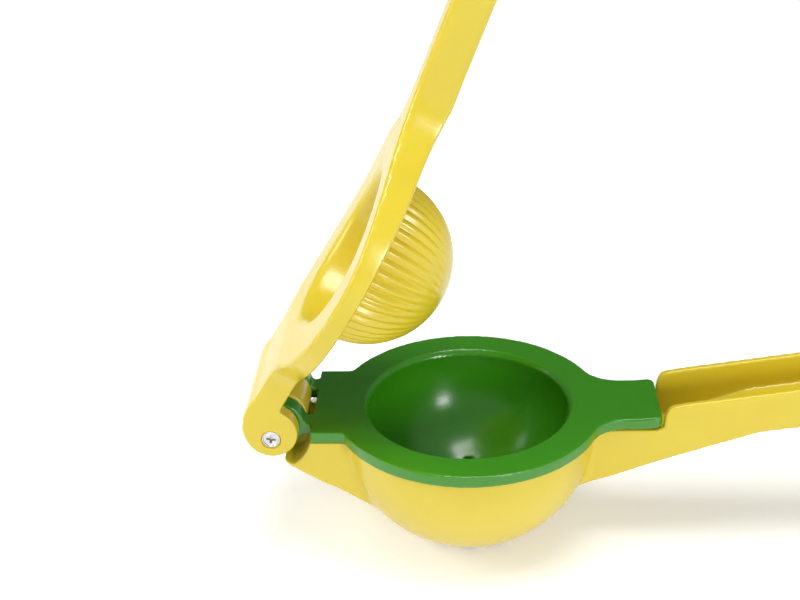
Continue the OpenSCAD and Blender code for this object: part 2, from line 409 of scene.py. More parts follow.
    @staticmethod
    def thin(piece: Piece, limit: int) -> None:
        """Merges small faces down to a limit of triangles and evens out the rest."""
        piece.data.calc_loop_triangles()
        ratio = limit / len(piece.data.loop_triangles)
        if ratio < 1:
            Bench.change(piece, Change.MERGE, ratio=ratio)
            Bench.rub(piece, 1)

    @staticmethod
    def shade(piece: Piece, angle: float = 45) -> None:
        """Shades smoothly, apart from edges sharper than the angle, and lets large faces lead."""
        Bench.pick(piece)
        bpy.ops.object.shade_smooth_by_angle(angle=math.radians(angle))
        Bench.change(piece, Change.SHADE, mode="FACE_AREA", weight=LARGE_FACES, keep_sharp=True)


# --------------------------------------------------------------------------- datum and hinge


@dataclass(frozen=True)
class Datum:
    """Where the squeezer stands in the frame, and how far its press arm is open.

    Attributes:
        pin: The hinge pin in X and Z, from the top of the flange.
        deck: Height of the flange's top above the foot.
        open_angle: Opening of the press arm at rest, in degrees.
        flange_t: Thickness of the flange.
        flange_r: Radius of the flange.
        reach: Reach of the lower handle from the bowl's axis.
    """

    pin: Point
    deck: float
    open_angle: float
    flange_t: float
    flange_r: float
    reach: float

    @classmethod
    def read(cls, frame: dict, flange_t: float) -> Datum:
        """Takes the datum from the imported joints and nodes.

        Args:
            flange_t: Thickness of the cup's flange, whose middle carries the pin.

        Returns:
            The datum, in millimetres and degrees.
        """
        press = next(joint for joint in frame["joints"] if joint["child"] == Body.PRESS.value)
        pin_x, _, pin_z = (value / MM for value in press["pos_m"])
        deck = pin_z + flange_t / 2
        return cls(
            pin=(pin_x, pin_z - deck),
            deck=deck,
            open_angle=-press["range_deg"][0],
            flange_t=flange_t,
            flange_r=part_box("strainer_cup")[1].y / MM,
            reach=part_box("lower_arm")[1].x / MM,
        )

    def settle(self, piece: Piece, name: str, swung: bool = False) -> Piece:
        """Moves a piece from the bench to its place in the frame, in metres, and names it.

        Args:
            piece: The finished piece in its closed place.
            name: Its name from here on.
            swung: Whether it opens with the press arm.

        Returns:
            The piece, with its place in its mesh.
        """
        from_pin = Matrix.Translation((self.pin[0], 0, self.pin[1]))
        turn = Matrix.Rotation(math.radians(-self.open_angle), 4, "Y") if swung else Matrix.Identity(4)
        raised = Matrix.Translation((0, 0, self.deck))
        piece.matrix_world = Matrix.Scale(MM, 4) @ raised @ from_pin @ turn @ from_pin.inverted()
        Bench.pick(piece)
        bpy.ops.object.transform_apply(location=True, rotation=True, scale=True)
        piece.name = piece.data.name = name
        return piece


@dataclass(frozen=True)
class Hinge:
    """The leaves that share the pin, and the lobe that all of them have.

    Attributes:
        datum: Where the pin is.
        lobe_r: Radius of each lobe.
        ahead: Distance of the lobe's centre ahead of the pin.
        above: Height of the lobe's centre above the pin.
        knuckle: Half the width of the middle knuckle.
        lug_w: Width of each lug of the cup.
        ear_w: Width of each ear of the press arm.
        gap: Gap between neighbouring leaves.
        pin_r: Radius of the pin.
        swing: Room that a lobe has where another casting turns past it.
        rim: Width of the step round the mouth of the bore.
        rim_depth: Depth of that step.
        run: Running gap all round the pin.
        socket_room: Room round the press arm's plate in the neck's hollow end.
    """

    datum: Datum
    lobe_r: float = 7.3
    ahead: float = 1.6
    above: float = 0.8
    knuckle: float = 6.5
    lug_w: float = 5.5
    ear_w: float = 5
    gap: float = 0.4
    pin_r: float = 2.6
    swing: float = 0.5
    rim: float = 0.2
    rim_depth: float = 0.45
    run: float = 0.06
    socket_room: float = 0.9

    @property
    def lobe(self) -> Point:
        """Centre of the lobes in X and Z."""
        return self.datum.pin[0] + self.ahead, self.datum.pin[1] + self.above

    @property
    def lug_y(self) -> float:
        """Inner face of the lugs."""
        return self.knuckle + self.gap

    @property
    def ear_y(self) -> float:
        """Inner face of the ears."""
        return self.lug_y + self.lug_w + self.gap

    @property
    def half(self) -> float:
        """Half the width of the whole hinge."""
        return self.ear_y + self.ear_w

    @property
    def cover_r(self) -> float:
        """Radius of the hollow under the press arm's plate over the hinge."""
        return self.lobe_r + math.hypot(self.ahead, self.above) + self.swing

    @property
    def socket_r(self) -> float:
        """Radius of the neck's hollow end."""
        return self.cover_r + self.socket_room

    def on_lobe(self, angle: float, proud: float = 0) -> Point:
        """A point on the lobe's rim, or a little outside it."""
        turn = math.radians(angle)
        reach = self.lobe_r + proud
        return self.lobe[0] + reach * math.cos(turn), self.lobe[1] + reach * math.sin(turn)

    def bar(self, radius: float, near: float, far: float, at: Point | None = None) -> Piece:
        """A round bar along Y, on the pin's axis unless another is given."""
        return Bench.lathe([(0, near), (radius, near), (radius, far), (0, far)], at or self.datum.pin)

    def disc(self, near: float, far: float) -> Piece:
        """The lobe itself, from one place along Y to another."""
        return self.bar(self.lobe_r, near, far, self.lobe)

    def bore(self, piece: Piece) -> None:
        """Drills the pin's hole through a piece, with a step at each outer mouth."""
        radius, out = self.pin_r + self.run, self.half + PAST
        step, inside = radius + self.rim, self.half - self.rim_depth
        near_half = [(0, -out), (step, -out), (step, -inside), (radius, -inside)]
        drill = near_half + [(r, -y) for r, y in reversed(near_half)]
        Bench.combine(piece, Join.CUT, Bench.lathe(drill, self.datum.pin))


# --------------------------------------------------------------------------- castings


@dataclass(frozen=True)
class LowerArm:
    """The bowl, its neck and knuckle, and the channelled handle.

    Attributes:
        hinge: The hinge that its knuckle belongs to.
        bowl_r: Outer radius of the bowl.
        bowl_wall: Wall of the bowl.
        bowl_z: Height of the bowl's centre.
        rim_z: Height of the bowl's rim.
        rise: Slope of the handle.
        half: Half the handle's width.
        channel_half: Half the channel's width.
        height: Height of the handle.
        floor_t: Thickness under the channel.
        end_wall: Wall that closes the channel's far end.
        bend_x: Where the handle's underside bends down towards the bowl.
        floor_line: Start of the line that the channel's floor keeps above, in X and Z.
        step_x: Where the handle steps up behind the cup's front tab.
        step_l: Length of that step.
        top_z: Height of the handle's top where the step ends.
        root_fillet: Fillet in plan where the handle leaves the bowl.
        neck_half: Half the neck's width.
        neck_root: Where the neck's underside enters the bowl, in X and Z.
        neck_corner: Radius of the neck's corners at the hinge.
        lip_ahead: Distance of the lip of the neck's hollow end ahead of the pin.
        lip_up: Height of that lip above the hollow's lowest line.
        lip_t: Thickness of the lip.
        web_l: Reach of the knuckle's web ahead of the pin.
        web_drop: Depth of the web's foot below the lip.
        web_gap: Gap between the web and the cup's tab above it.
        drain_r: Radius of the drain holes.
        drain_pitch: Distance from one ring of drain holes to the next.
        drain_count: Number of holes in the inner ring.
        drain_cut: Heights between which they are drilled.
        grain: Size of the skin's faces.
        rounding: Passes that round its edges.
        blending: Passes that run the neck and the handle's root into the bowl.
    """

    hinge: Hinge
    bowl_r: float = 36.2
    bowl_wall: float = 2.8
    bowl_z: float = -6.2
    rim_z: float = -3.8
    rise: float = 0.1477
    half: float = 10.4
    channel_half: float = 8.1
    height: float = 12
    floor_t: float = 3
    end_wall: float = 4
    bend_x: float = 80
    floor_line: Point = (20, -26.9)
    step_x: float = 54
    step_l: float = 7
    top_z: float = 4.3
    root_fillet: float = 10
    neck_half: float = 16.3
    neck_root: Point = (-20, -30.4)
    neck_corner: float = 1.5
    lip_ahead: float = 2.9
    lip_up: float = 1.95
    lip_t: float = 1.15
    web_l: float = 13
    web_drop: float = 5.4
    web_gap: float = 0.6
    drain_r: float = 2
    drain_pitch: float = 7.3
    drain_count: int = 6
    drain_cut: Point = (-50, -30)
    grain: float = 0.56
    rounding: int = 5
    blending: int = 50

    @property
    def lip(self) -> Point:
        """The lower lip of the neck's hollow end."""
        pin_x, pin_z = self.hinge.datum.pin
        return pin_x + self.lip_ahead, pin_z - self.hinge.socket_r + self.lip_up

    def top(self, x: float) -> float:
        """Height of the handle's top edge at a place along X."""
        return self.top_z + self.rise * (x - self.step_x - self.step_l)

    def neck(self) -> Piece:
        """The solid neck between the bowl and the hinge."""
        (lip_x, lip_z), round_r = self.lip, self.neck_corner
        side = [(lip_x, lip_z), self.neck_root, (0, -20), (0, 4), (lip_x, 4)]
        corner = arc((lip_x + round_r, self.neck_half - round_r), round_r, 180, 90, 6)
        plan = both_sides(corner + [(0, self.neck_half)])
        return Bench.crossed(side, plan, (-BEYOND, BEYOND), (-BEYOND, 20))

    def root(self) -> Piece:
        """The fillets from the bowl's rim into the handle, which run out towards its underside."""
        fillet, angle = concave_corner(self.bowl_r - 1, self.half, self.root_fillet)
        on_ring = arc((0, 0), self.bowl_r - 1, angle, angle + 12, 3)
        plan = both_sides([(fillet[0][0] + 1, self.half)] + fillet + on_ring[1:] + [(0, 6)])
        return Bench.outline(Drawn.PLAN, plan, self.rim_z + 0.5, -22, 0.5)

    def handle(self) -> Piece:
        """The handle before its channel is cut."""
        end, bend = self.hinge.datum.reach, self.bend_x
        over = [(0, 8), (30, 8), (end, self.top(end) + 6)]
        under = [(end, self.top(end) - self.height), (bend, self.top(bend) - self.height)]
        into_bowl = [(58.8, -12.2), (48, -16.2), (37, -20.6), (20, -27.1), (0, -20)]
        plan = both_sides(round_end(end, self.half) + [(0, self.half)])
        side = over + under + into_bowl
        return Bench.crossed(side, plan, (-BEYOND, BEYOND), (-BEYOND, OUT_OF_THE_WAY))

    def above(self) -> Piece:
        """What lies over the rim, the step and the handle's top edge."""
        end, step = self.hinge.datum.reach + 5, self.step_x
        shoulder = [(step, -1), (step + 0.4, 1), (step + 0.9, 2.2), (step + 1.6, 3), (step + 2.6, 3.45)]
        line = [
            (-OUT_OF_THE_WAY, self.rim_z),
            (step, self.rim_z),
            *shoulder,
            (step + self.step_l, self.top_z),
            (end, self.top(end)),
            (end, OUT_OF_THE_WAY),
            (-OUT_OF_THE_WAY, OUT_OF_THE_WAY),
        ]
        return Bench.outline(Drawn.SIDE, line, -OUT_OF_THE_WAY, OUT_OF_THE_WAY)

    def channel(self) -> Piece:
        """The trough under the closed press handle."""
        start, end, bend = self.bowl_r + 4, self.hinge.datum.reach - self.end_wall, self.bend_x
        floor_z = self.top(bend) - self.height + self.floor_t
        fall = (floor_z - self.floor_line[1] - self.floor_t) / (bend - self.floor_line[0])
        side = [
            (start, floor_z - fall * (bend - start)),
            (bend, floor_z),
            (end, floor_z + self.rise * (end - bend)),
            (end, OUT_OF_THE_WAY),
            (start, OUT_OF_THE_WAY),
        ]
        half = self.channel_half
        plan = both_sides(round_end(end, half) + [(start - 1, half)])
        return Bench.crossed(side, plan, (-half, half), (-BEYOND, OUT_OF_THE_WAY + 10))

    def socket(self) -> Piece:
        """The round hollow in the neck's end, which leaves a thin lip below it."""
        lip_x, lip_z = self.lip
        fall = (self.neck_root[1] - lip_z) / (self.neck_root[0] - lip_x)
        low, before, after, high = lip_z + self.lip_t, -4, 12, 20
        line = [(lip_x + x, low + x * fall) for x in (before, after)]
        line += [(lip_x + x, high) for x in (after, before)]
        over_lip = Bench.outline(Drawn.SIDE, line, -BEYOND, BEYOND)
        return Bench.combine(self.hinge.bar(self.hinge.socket_r, -30, 30), Join.KEEP_SHARED, over_lip)

    def knuckle(self) -> Piece:
        """The middle leaf of the hinge and the web that carries it."""
        pin_x, pin_z = self.hinge.datum.pin
        lip_x, lip_z = self.lip
        under_tab, width = self.rim_z - self.web_gap, self.hinge.knuckle
        web = [
            (pin_x, pin_z),
            (self.hinge.on_lobe(0)[0], under_tab),
            (pin_x + self.web_l, under_tab),
            (pin_x + self.web_l, lip_z - self.web_drop),
            (lip_x, lip_z),
            (lip_x - 2, lip_z + 2),
        ]
        carrier = Bench.outline(Drawn.SIDE, web, -width, width)
        return Bench.combine(carrier, Join.ADD, self.hinge.disc(-width, width))

    def drains(self) -> Iterator[Piece]:
        """Two rings of drills through the bottom of the bowl."""
        for ring in (1, 2):
            reach, count = ring * self.drain_pitch, ring * self.drain_count
            for i in range(count):
                turn = math.tau * i / count
                spot = (reach * math.cos(turn), reach * math.sin(turn))
                yield Bench.post(self.drain_r, self.drain_r, *self.drain_cut, spot)

    def blend_share(self, at: Vector) -> float:
        """How much a place is softened where the neck and the handle's root run into the bowl."""
        below_rim = ease(at.z, self.rim_z - 1, self.rim_z - 5)
        at_neck = ease(at.x, -15, -21) * ease(at.x, -41, -36)
        at_root = ease(at.x, 24, 29) * ease(at.x, 41, 36) * ease(abs(at.y), 6, 9)
        return below_rim * max(at_neck, 0.4 * at_root)

    def build(self) -> Piece:
        """Shapes the whole casting."""
        datum = self.hinge.datum
        arm = Bench.ball(self.bowl_r, self.bowl_z)
        Bench.combine(arm, Join.ADD, self.neck(), self.handle(), self.root())
        foot = Bench.post(OUT_OF_THE_WAY, OUT_OF_THE_WAY, -OUT_OF_THE_WAY, -datum.deck)
        inside = Bench.ball(self.bowl_r - self.bowl_wall, self.bowl_z)
        Bench.combine(arm, Join.CUT, self.above(), foot, self.socket(), self.channel(), inside)
        Bench.combine(arm, Join.ADD, self.knuckle())
        Bench.reskin(arm, self.grain)
        Bench.rub(arm, self.rounding)
        Bench.rub(arm, self.blending, self.blend_share)
        Bench.thin(arm, TRIANGLE_LIMIT - FOR_HOLES)
        Bench.combine(arm, Join.CUT, *self.drains())
        self.hinge.bore(arm)
        Bench.shade(arm)
        return datum.settle(arm, "LowerArmCasting")


@dataclass(frozen=True)
class StrainerCup:
    """The cup, its flange and tabs, and the two lugs on the pin.

    Attributes:
        hinge: The hinge that its lugs belong to.
        inner_r: Inner radius of the cup.
        wall: Wall of the cup.
        sink: Depth of the cup's centre below the flange's top.
        lip: Widening of its mouth.
        tab_l: Reach of the front tab past the flange.
        tab_half: Half the front tab's width.
        tab_corner: Corner radius of the front tab.
        tab_fillet: Fillet between the front tab and the flange.
        tab_lift: How far the front tab turns up at its end.
        lift_x: Where along X that turn starts and ends.
        rear_fillet: Fillet between the hinge tab and the flange.
        rear_inset: How far the hinge tab's sides lie inside the hinge's ends.
        slot_count: Number of drain slots.
        slot_l: Length of each slot.
        slot_w: Width of each slot.
        slot_start: Distance from the cup's middle to each slot.
        slot_cut: Heights between which they are cut.
        play: Gap between the hinge tab's end and the neck's hollow.
        grain: Size of the skin's faces.
        rounding: Passes that round its edges.
        top_rounding: More such passes for the flange's top edges.
        top_z: Heights between which those set in.
    """

    hinge: Hinge
    inner_r: float = 28.2
    wall: float = 2.2
    sink: float = 3
    lip: float = 1.1
    tab_l: float = 15.5
    tab_half: float = 10.8
    tab_corner: float = 2.2
    tab_fillet: float = 10
    tab_lift: float = 0.45
    lift_x: Point = (47, 53.5)
    rear_fillet: float = 1.6
    rear_inset: float = 1
    slot_count: int = 8
    slot_l: float = 8
    slot_w: float = 2.6
    slot_start: float = 5
    slot_cut: Point = (-45, -20)
    play: float = 0.2
    grain: float = 0.42
    rounding: int = 5
    top_rounding: int = 8
    top_z: Point = (-1.8, -0.6)

    @property
    def rear_x(self) -> float:
        """Where the hinge tab ends."""
        return self.hinge.datum.pin[0] + self.hinge.socket_r + self.play

    def flange(self) -> Piece:
        """The ring and its two tabs."""
        ring, rear_half = self.hinge.datum.flange_r, self.hinge.half - self.rear_inset
        front, front_angle = concave_corner(ring, self.tab_half, self.tab_fillet)
        rear, rear_angle = concave_corner(ring, rear_half, self.rear_fillet, 8)
        corner = (ring + self.tab_l - self.tab_corner, self.tab_half - self.tab_corner)
        upper = (
            arc(corner, self.tab_corner, 0, 90, 8)
            + front
            + arc((0, 0), ring, front_angle, 180 - rear_angle, 72)[1:-1]
            + flipped(rear)
            + [(self.rear_x, rear_half)]
        )
        return Bench.outline(Drawn.PLAN, both_sides(upper), -self.hinge.datum.flange_t, 0)

    def lug(self, side: int) -> Piece:
        """One hinge lug: its lobe and the arm that joins it to the tab."""
        hinge, under = self.hinge, -self.hinge.datum.flange_t
        edges = sorted((side * hinge.lug_y, side * (hinge.lug_y + hinge.lug_w)))
        lobe_x, lobe_z = hinge.lobe
        arm = [
            (lobe_x, lobe_z),
            (lobe_x + 3, under),
            (self.rear_x + 1, under),
            (self.rear_x + 1, 0),
            (lobe_x + hinge.lobe_r - 0.4, 0),
            hinge.on_lobe(30),
        ]
        heel = [
            (self.rear_x, under),
            (lobe_x + 6.1, under),
            (lobe_x + 2.4, under - 5),
            (self.rear_x, under - 5),
        ]
        lug = hinge.disc(*edges)
        Bench.combine(lug, Join.CUT, Bench.outline(Drawn.SIDE, heel, -OUT_OF_THE_WAY, OUT_OF_THE_WAY))
        return Bench.combine(lug, Join.ADD, Bench.outline(Drawn.SIDE, arm, *edges))

    def slots(self) -> Iterator[Piece]:
        """The rays of drain slots in the cup's bottom."""
        half = self.slot_w / 2
        far = self.slot_start + self.slot_l
        ray = both_sides(round_end(far, half, 6) + flipped(round_end(-self.slot_start, half, 6)))
        for i in range(self.slot_count):
            slot = Bench.outline(Drawn.PLAN, ray, *self.slot_cut)
            slot.rotation_euler.z = math.tau * i / self.slot_count
            Bench.pick(slot)
            bpy.ops.object.transform_apply(rotation=True)
            yield slot

    def build(self) -> Piece:
        """Shapes the whole casting."""
        datum = self.hinge.datum
        cup = Bench.ball(self.inner_r + self.wall, -self.sink)
        Bench.combine(cup, Join.CUT, Bench.post(WIDE, WIDE, -datum.flange_t / 2, WIDE))
        Bench.combine(cup, Join.ADD, self.flange(), self.lug(-1), self.lug(1))
        mouth = Bench.post(self.inner_r - 1, self.inner_r + self.lip, -self.sink, 0.05)
        Bench.combine(cup, Join.CUT, Bench.ball(self.inner_r, -self.sink), mouth)
        Bench.combine(cup, Join.CUT, *self.slots())
        Bench.reskin(cup, self.grain)
        Bench.rub(cup, self.rounding)
        Bench.rub(cup, self.top_rounding, lambda at: ease(at.z, *self.top_z))
        Bench.push(cup, self.tab_lift, lambda at: ease(at.x, *self.lift_x), Along.UP)
        Bench.thin(cup, TRIANGLE_LIMIT - FOR_HOLES)
        self.hinge.bore(cup)
        Bench.shade(cup)
        return datum.settle(cup, "StrainerCupCasting")


@dataclass(frozen=True)
class PressArm:
    """The dished head with its ears, the fluted dome and the press handle.

    Attributes:
        hinge: The hinge that its ears belong to.
        reach: Reach of the handle from the head's axis.
        head_r: Radius of the head.
        thickness: Thickness in the middle of the dished back.
        plate_l: How far the plate over the hinge ends ahead of the pin.
        plate_t: Thickness of that plate at its highest.
        under_z: Height of its flat underside when closed.
        rear_dish: Radius of the dish towards the hinge.
        front_dish: Radius of the dish towards the handle.
        dish_x: Where the dish is deepest.
        dish_end: Distance from the head's axis to the dish's rear end.
        slope: Rise of the handle, in degrees.
        half: Half the handle's width.
        height: Height of the handle.
        neck_fillet: Fillet from the head into the handle.
        ear_fillet: Fillet from the head into the ears.
        dome_r: Outer radius of the dome.
        dome_wall: Wall of the dome.
        dome_z: Height of the dome's centre.
        dome_skin: Thickness of the fluted skin that is laid over the dome's core.
        core_inset: How far the core lies inside the dome.
        flare: Widening of the hollow behind the dome.
        flutes: Number of flutes round the dome.
        flute_depth: Depth of the flutes at the dome's foot.
        flute_fade: Angles below the dome's middle at which they end and are at full depth, in degrees.
        grain: Size of the skin's faces.
        rounding: Passes that round its edges.
        mouth_rounding: More such passes where the back runs into the hollow.
        neck_rounding: More of them under the neck.
        ear_rounding: More of them on the back, above the ears.
        back_rounding: More of them on the back of the neck.
        evening: Passes that even the edges out after thinning.
    """

    hinge: Hinge
    reach: float = 147.3
    head_r: float = 37.3
    thickness: float = 4.9
    plate_l: float = 2.7
    plate_t: float = 0.6
    under_z: float = 0.12
    rear_dish: float = 190
    front_dish: float = 125
    dish_x: float = 1
    dish_end: float = 31
    slope: float = 8.4
    half: float = 6.25
    height: float = 10.6
    neck_fillet: float = 20
    ear_fillet: float = 12
    dome_r: float = 23.4
    dome_wall: float = 3.4
    dome_z: float = -1.2
    dome_skin: float = 2
    core_inset: float = 1.3
    flare: float = 3.5
    flutes: int = 48
    flute_depth: float = 1.15
    flute_fade: Point = (60, 12)
    grain: float = 0.45
    rounding: int = 7
    mouth_rounding: int = 110
    neck_rounding: int = 60
    ear_rounding: int = 22
    back_rounding: int = 40
    evening: int = 4

    @property
    def rise(self) -> float:
        """Slope of the handle."""
        return math.tan(math.radians(self.slope))

    @property
    def plate_x(self) -> float:
        """Where the plate over the hinge ends."""
        return self.hinge.datum.pin[0] + self.plate_l

    def brow(self) -> Outline:
        """The highest part of the back, over the hinge, from the dish to the plate's end."""
        pin_x, pin_z = self.hinge.datum.pin
        top = pin_z + self.hinge.cover_r + self.plate_t
        return [(pin_x + 9.5, top - self.plate_t), (pin_x + 6.5, top), (self.plate_x, top - 0.3)]

    def back(self) -> Outline:
        """The line of the dished back, from the handle's end to the plate over the hinge."""
        top = self.under_z + self.thickness
        turn = math.radians(self.slope)
        join_x = self.dish_x + self.front_dish * math.sin(turn)
        join_z = top + self.front_dish * (1 - math.cos(turn))
        front = arc((self.dish_x, top + self.front_dish), self.front_dish, self.slope - 90, -90, 10)
        rear_turn = math.degrees(math.asin((self.dish_end + self.dish_x) / self.rear_dish))
        rear = arc((self.dish_x, top + self.rear_dish), self.rear_dish, -90, -90 - rear_turn, 10)
        end = (self.reach, join_z + self.rise * (self.reach - join_x))
        return [end, *front, *rear[1:], *self.brow()]

    def under(self, x: float) -> float:
        """Height of the underside at a place along X."""
        return max(self.under_z, self.back()[0][1] - self.height - self.rise * (self.reach - x))

    def blank(self) -> Piece:
        """Head and handle, flat below and dished on the back."""
        bend = self.reach - (self.under(self.reach) - self.under_z) / self.rise
        side = self.back() + [
            (self.plate_x, self.under_z),
            (bend, self.under_z),
            (self.reach, self.under(self.reach)),
        ]
        neck, neck_angle = concave_corner(self.head_r, self.half, self.neck_fillet, 20)
        ear, ear_angle = concave_corner(self.head_r, self.hinge.half, self.ear_fillet, 14)
        plan = both_sides(
            round_end(self.reach, self.half)
            + neck
            + arc((0, 0), self.head_r, neck_angle, 180 - ear_angle, 80)[1:-1]
            + flipped(ear)
            + [(self.plate_x, self.hinge.half)]
        )
        return Bench.crossed(side, plan, (-WIDE, WIDE), (-5, OUT_OF_THE_WAY))

    def ear(self, side: int) -> Piece:
        """One ear: its lobe and the shoulder that rises to the brow."""
        hinge, brow = self.hinge, self.brow()
        edges = sorted((side * hinge.ear_y, side * hinge.half))
        shoulder = [
            (hinge.lobe[0], self.under_z),
            (brow[0][0], self.under_z),
            *brow,
            hinge.on_lobe(107, 0.85),
            hinge.on_lobe(127, 0.3),
            hinge.on_lobe(145),
        ]
        return Bench.combine(hinge.disc(*edges), Join.ADD, Bench.outline(Drawn.SIDE, shoulder, *edges))

    def hollow(self) -> Iterator[Piece]:
        """The empty back of the dome and the room for the hinge under its plate."""
        inner, hinge = self.dome_r - self.dome_wall, self.hinge
        yield Bench.ball(inner, self.dome_z)
        yield Bench.post(inner, inner + self.flare, self.dome_z, self.dome_z + 2 * self.thickness)
        yield hinge.bar(hinge.cover_r, -hinge.ear_y, hinge.ear_y)

    def flute_share(self, at: Vector) -> float:
        """How far into a flute a point of the dome lies, from 0 on a rib to 1 in the flute."""
        quarter = round(math.atan2(at.y, at.x) / math.tau * self.flutes * 4) % 4
        below = math.degrees(math.asin(max(-1, min(1, (self.dome_z - at.z) / self.dome_r))))
        return (1.0, 0.2, 0.0, 0.2)[quarter] * ease(below, *self.flute_fade)

    def fluted_dome(self) -> Piece:
        """The outside of the dome, with flutes that fade out towards its pole."""
        dome = Bench.ball(self.dome_r, self.dome_z, self.flutes * 4, 72)
        Bench.push(dome, -self.flute_depth, self.flute_share)
        Bench.change(dome, Change.SPLIT, levels=1, render_levels=1)
        inside = Bench.ball(self.dome_r - self.dome_skin, self.dome_z)
        return Bench.combine(dome, Join.CUT, Bench.post(WIDE, WIDE, self.under_z + 0.6, WIDE), inside)

    def share_of(self, along: Point, up: Point) -> Share:
        """A share that eases in along X and with the height over the underside."""
        return lambda at: ease(at.x, *along) * ease(at.z - self.under(at.x), *up)

    def mouth_share(self, at: Vector) -> float:
        """How near a place is to the mouth of the hollow behind the dome."""
        mouth_r = self.dome_r - self.dome_wall + self.flare * 0.66
        mouth_z = self.under_z + self.thickness
        return ease(math.hypot(math.hypot(at.x, at.y) - mouth_r, at.z - mouth_z), 6.5, 2)

    def build(self) -> Piece:
        """Shapes the whole casting."""
        arm = self.blank()
        core = Bench.ball(self.dome_r - self.core_inset, self.dome_z)
        Bench.combine(core, Join.CUT, Bench.post(WIDE, WIDE, self.under_z + 2, WIDE))
        Bench.combine(arm, Join.ADD, self.ear(-1), self.ear(1), core)
        Bench.combine(arm, Join.CUT, *self.hollow())
        Bench.reskin(arm, self.grain)
        Bench.rub(arm, self.rounding)
        Bench.rub(arm, self.mouth_rounding, self.mouth_share)
        Bench.rub(arm, self.neck_rounding, self.share_of((46, 62), (5, 2)))
        Bench.rub(arm, self.ear_rounding, self.share_of((-38, -30), (2, 4)))
        Bench.rub(arm, self.back_rounding, self.share_of((30, 50), (5, 7.5)))
        Bench.thin(arm, TRIANGLE_LIMIT - FOR_DOME)
        Bench.rub(arm, self.evening)
        Bench.combine(arm, Join.ADD, self.fluted_dome())
        self.hinge.bore(arm)
        Bench.shade(arm)
        return self.hinge.datum.settle(arm, "PressArmCasting", swung=True)


@dataclass(frozen=True)
class Pin:
    """The two-part steel pin: a barrel from the far side and a screw from the near side.

    Attributes:
        hinge: The hinge that it holds.
        inset: Depth of its ends below the faces of the ears.
        head_l: Length of the screw's head.
        shank_r: Radius of the screw's shank.
        shank_l: Length of the shank.
        tip: Chamfer of the shank's end.
        spare: Length of the barrel's bore past the shank.
        rim_w: Width of the raised rim round the head's face.
        rim_h: Height of that rim.
        rim_slope: Width of its inner slope.
        edge: Chamfer of the head's edge.
        cross_half: Half the width of the recess's arms.
        cross_reach: Length of each arm from the middle.
        cross_depth: Depth of the recess.
        cross_turn: How far the recess is turned, in degrees.
        thread_gap: Gap all round the shank in the barrel.
        head_gap: Gap between the screw's head and the barrel.
        chamfer: Chamfer of the barrel's far end.
        dimple_r: Radius of the dimple in that end.
        dimple_depth: Depth of the dimple.
        crease: Angle over which its edges stay sharp, in degrees.
    """

    hinge: Hinge
    inset: float = 0.3
    head_l: float = 3
    shank_r: float = 1.5
    shank_l: float = 12
    tip: float = 0.4
    spare: float = 1
    rim_w: float = 0.42
    rim_h: float = 0.16
    rim_slope: float = 0.12
    edge: float = 0.14
    cross_half: float = 0.36
    cross_reach: float = 1.3
    cross_depth: float = 1.3
    cross_turn: float = 20
    thread_gap: float = 0.05
    head_gap: float = 0.02
    chamfer: float = 0.3
    dimple_r: float = 0.9
    dimple_depth: float = 0.5
    crease: float = 30

    @property
    def near(self) -> float:
        """Place of the screw's face along Y."""
        return -self.hinge.half + self.inset

    def screw(self) -> Piece:
        """The screw, with a rimmed face and a cross recess."""
        radius, face, pin = self.hinge.pin_r, self.near, self.hinge.datum.pin
        under, end = face + self.head_l, face + self.head_l + self.shank_l
        profile = [
            (0, face + self.rim_h),
            (radius - self.rim_w - self.rim_slope, face + self.rim_h),
            (radius - self.rim_w, face),
            (radius - self.edge, face),
            (radius, face + self.edge),
            (radius, under),
            (self.shank_r, under),
            (self.shank_r, end - self.tip),
            (self.shank_r - self.tip, end),
            (0, end),
        ]
        screw = Bench.lathe(profile, pin)
        wide, long = self.cross_half, self.cross_reach
        quarter = [Vector((wide, long)), Vector((wide, wide)), Vector((long, wide))]
        turns = [Matrix.Rotation(math.radians(self.cross_turn - 90 * i), 2) for i in range(4)]
        spots = [turn @ corner for turn in turns for corner in quarter]
        recess = [(pin[0] + spot.x, pin[1] + spot.y) for spot in spots]
        cutter = Bench.outline(Drawn.SIDE, recess, face - PAST, face + self.cross_depth)
        Bench.combine(screw, Join.CUT, cutter)
        Bench.shade(screw, self.crease)
        return self.hinge.datum.settle(screw, "PinScrew", swung=True)

    def barrel(self) -> Piece:
        """The barrel, bored for the screw, with a chamfered and dimpled far end."""
        radius, bore = self.hinge.pin_r, self.shank_r + self.thread_gap
        start, end = self.near + self.head_l + self.head_gap, -self.near
        floor = start + self.shank_l + self.spare
        profile = [
            (0, floor),
            (bore, floor),
            (bore, start),
            (radius, start),
            (radius, end - self.chamfer),
            (radius - self.chamfer, end),
            (self.dimple_r, end),
            (0, end - self.dimple_depth),
        ]
        barrel = Bench.lathe(profile, self.hinge.datum.pin)
        Bench.shade(barrel, self.crease)
        return self.hinge.datum.settle(barrel, "PinBarrel", swung=True)


# --------------------------------------------------------------------------- finishes


def ramp(tree: bpy.types.NodeTree, source: Socket, start: Point, end: Point) -> Socket:
    """Maps a value from its range in start onto its range in end.

    Args:
        tree: The node tree that the mapping is added to.
        source: Where the value comes from.
        start: Lowest and highest value that comes in.
        end: What those two become.

    Returns:
        The mapped value.
    """
    node = tree.nodes.new("ShaderNodeMapRange")
    for socket, value in zip(("From Min", "From Max", "To Min", "To Max"), (*start, *end)):
        node.inputs[socket].default_value = value
    tree.links.new(source, node.inputs["Value"])
    return node.outputs["Result"]


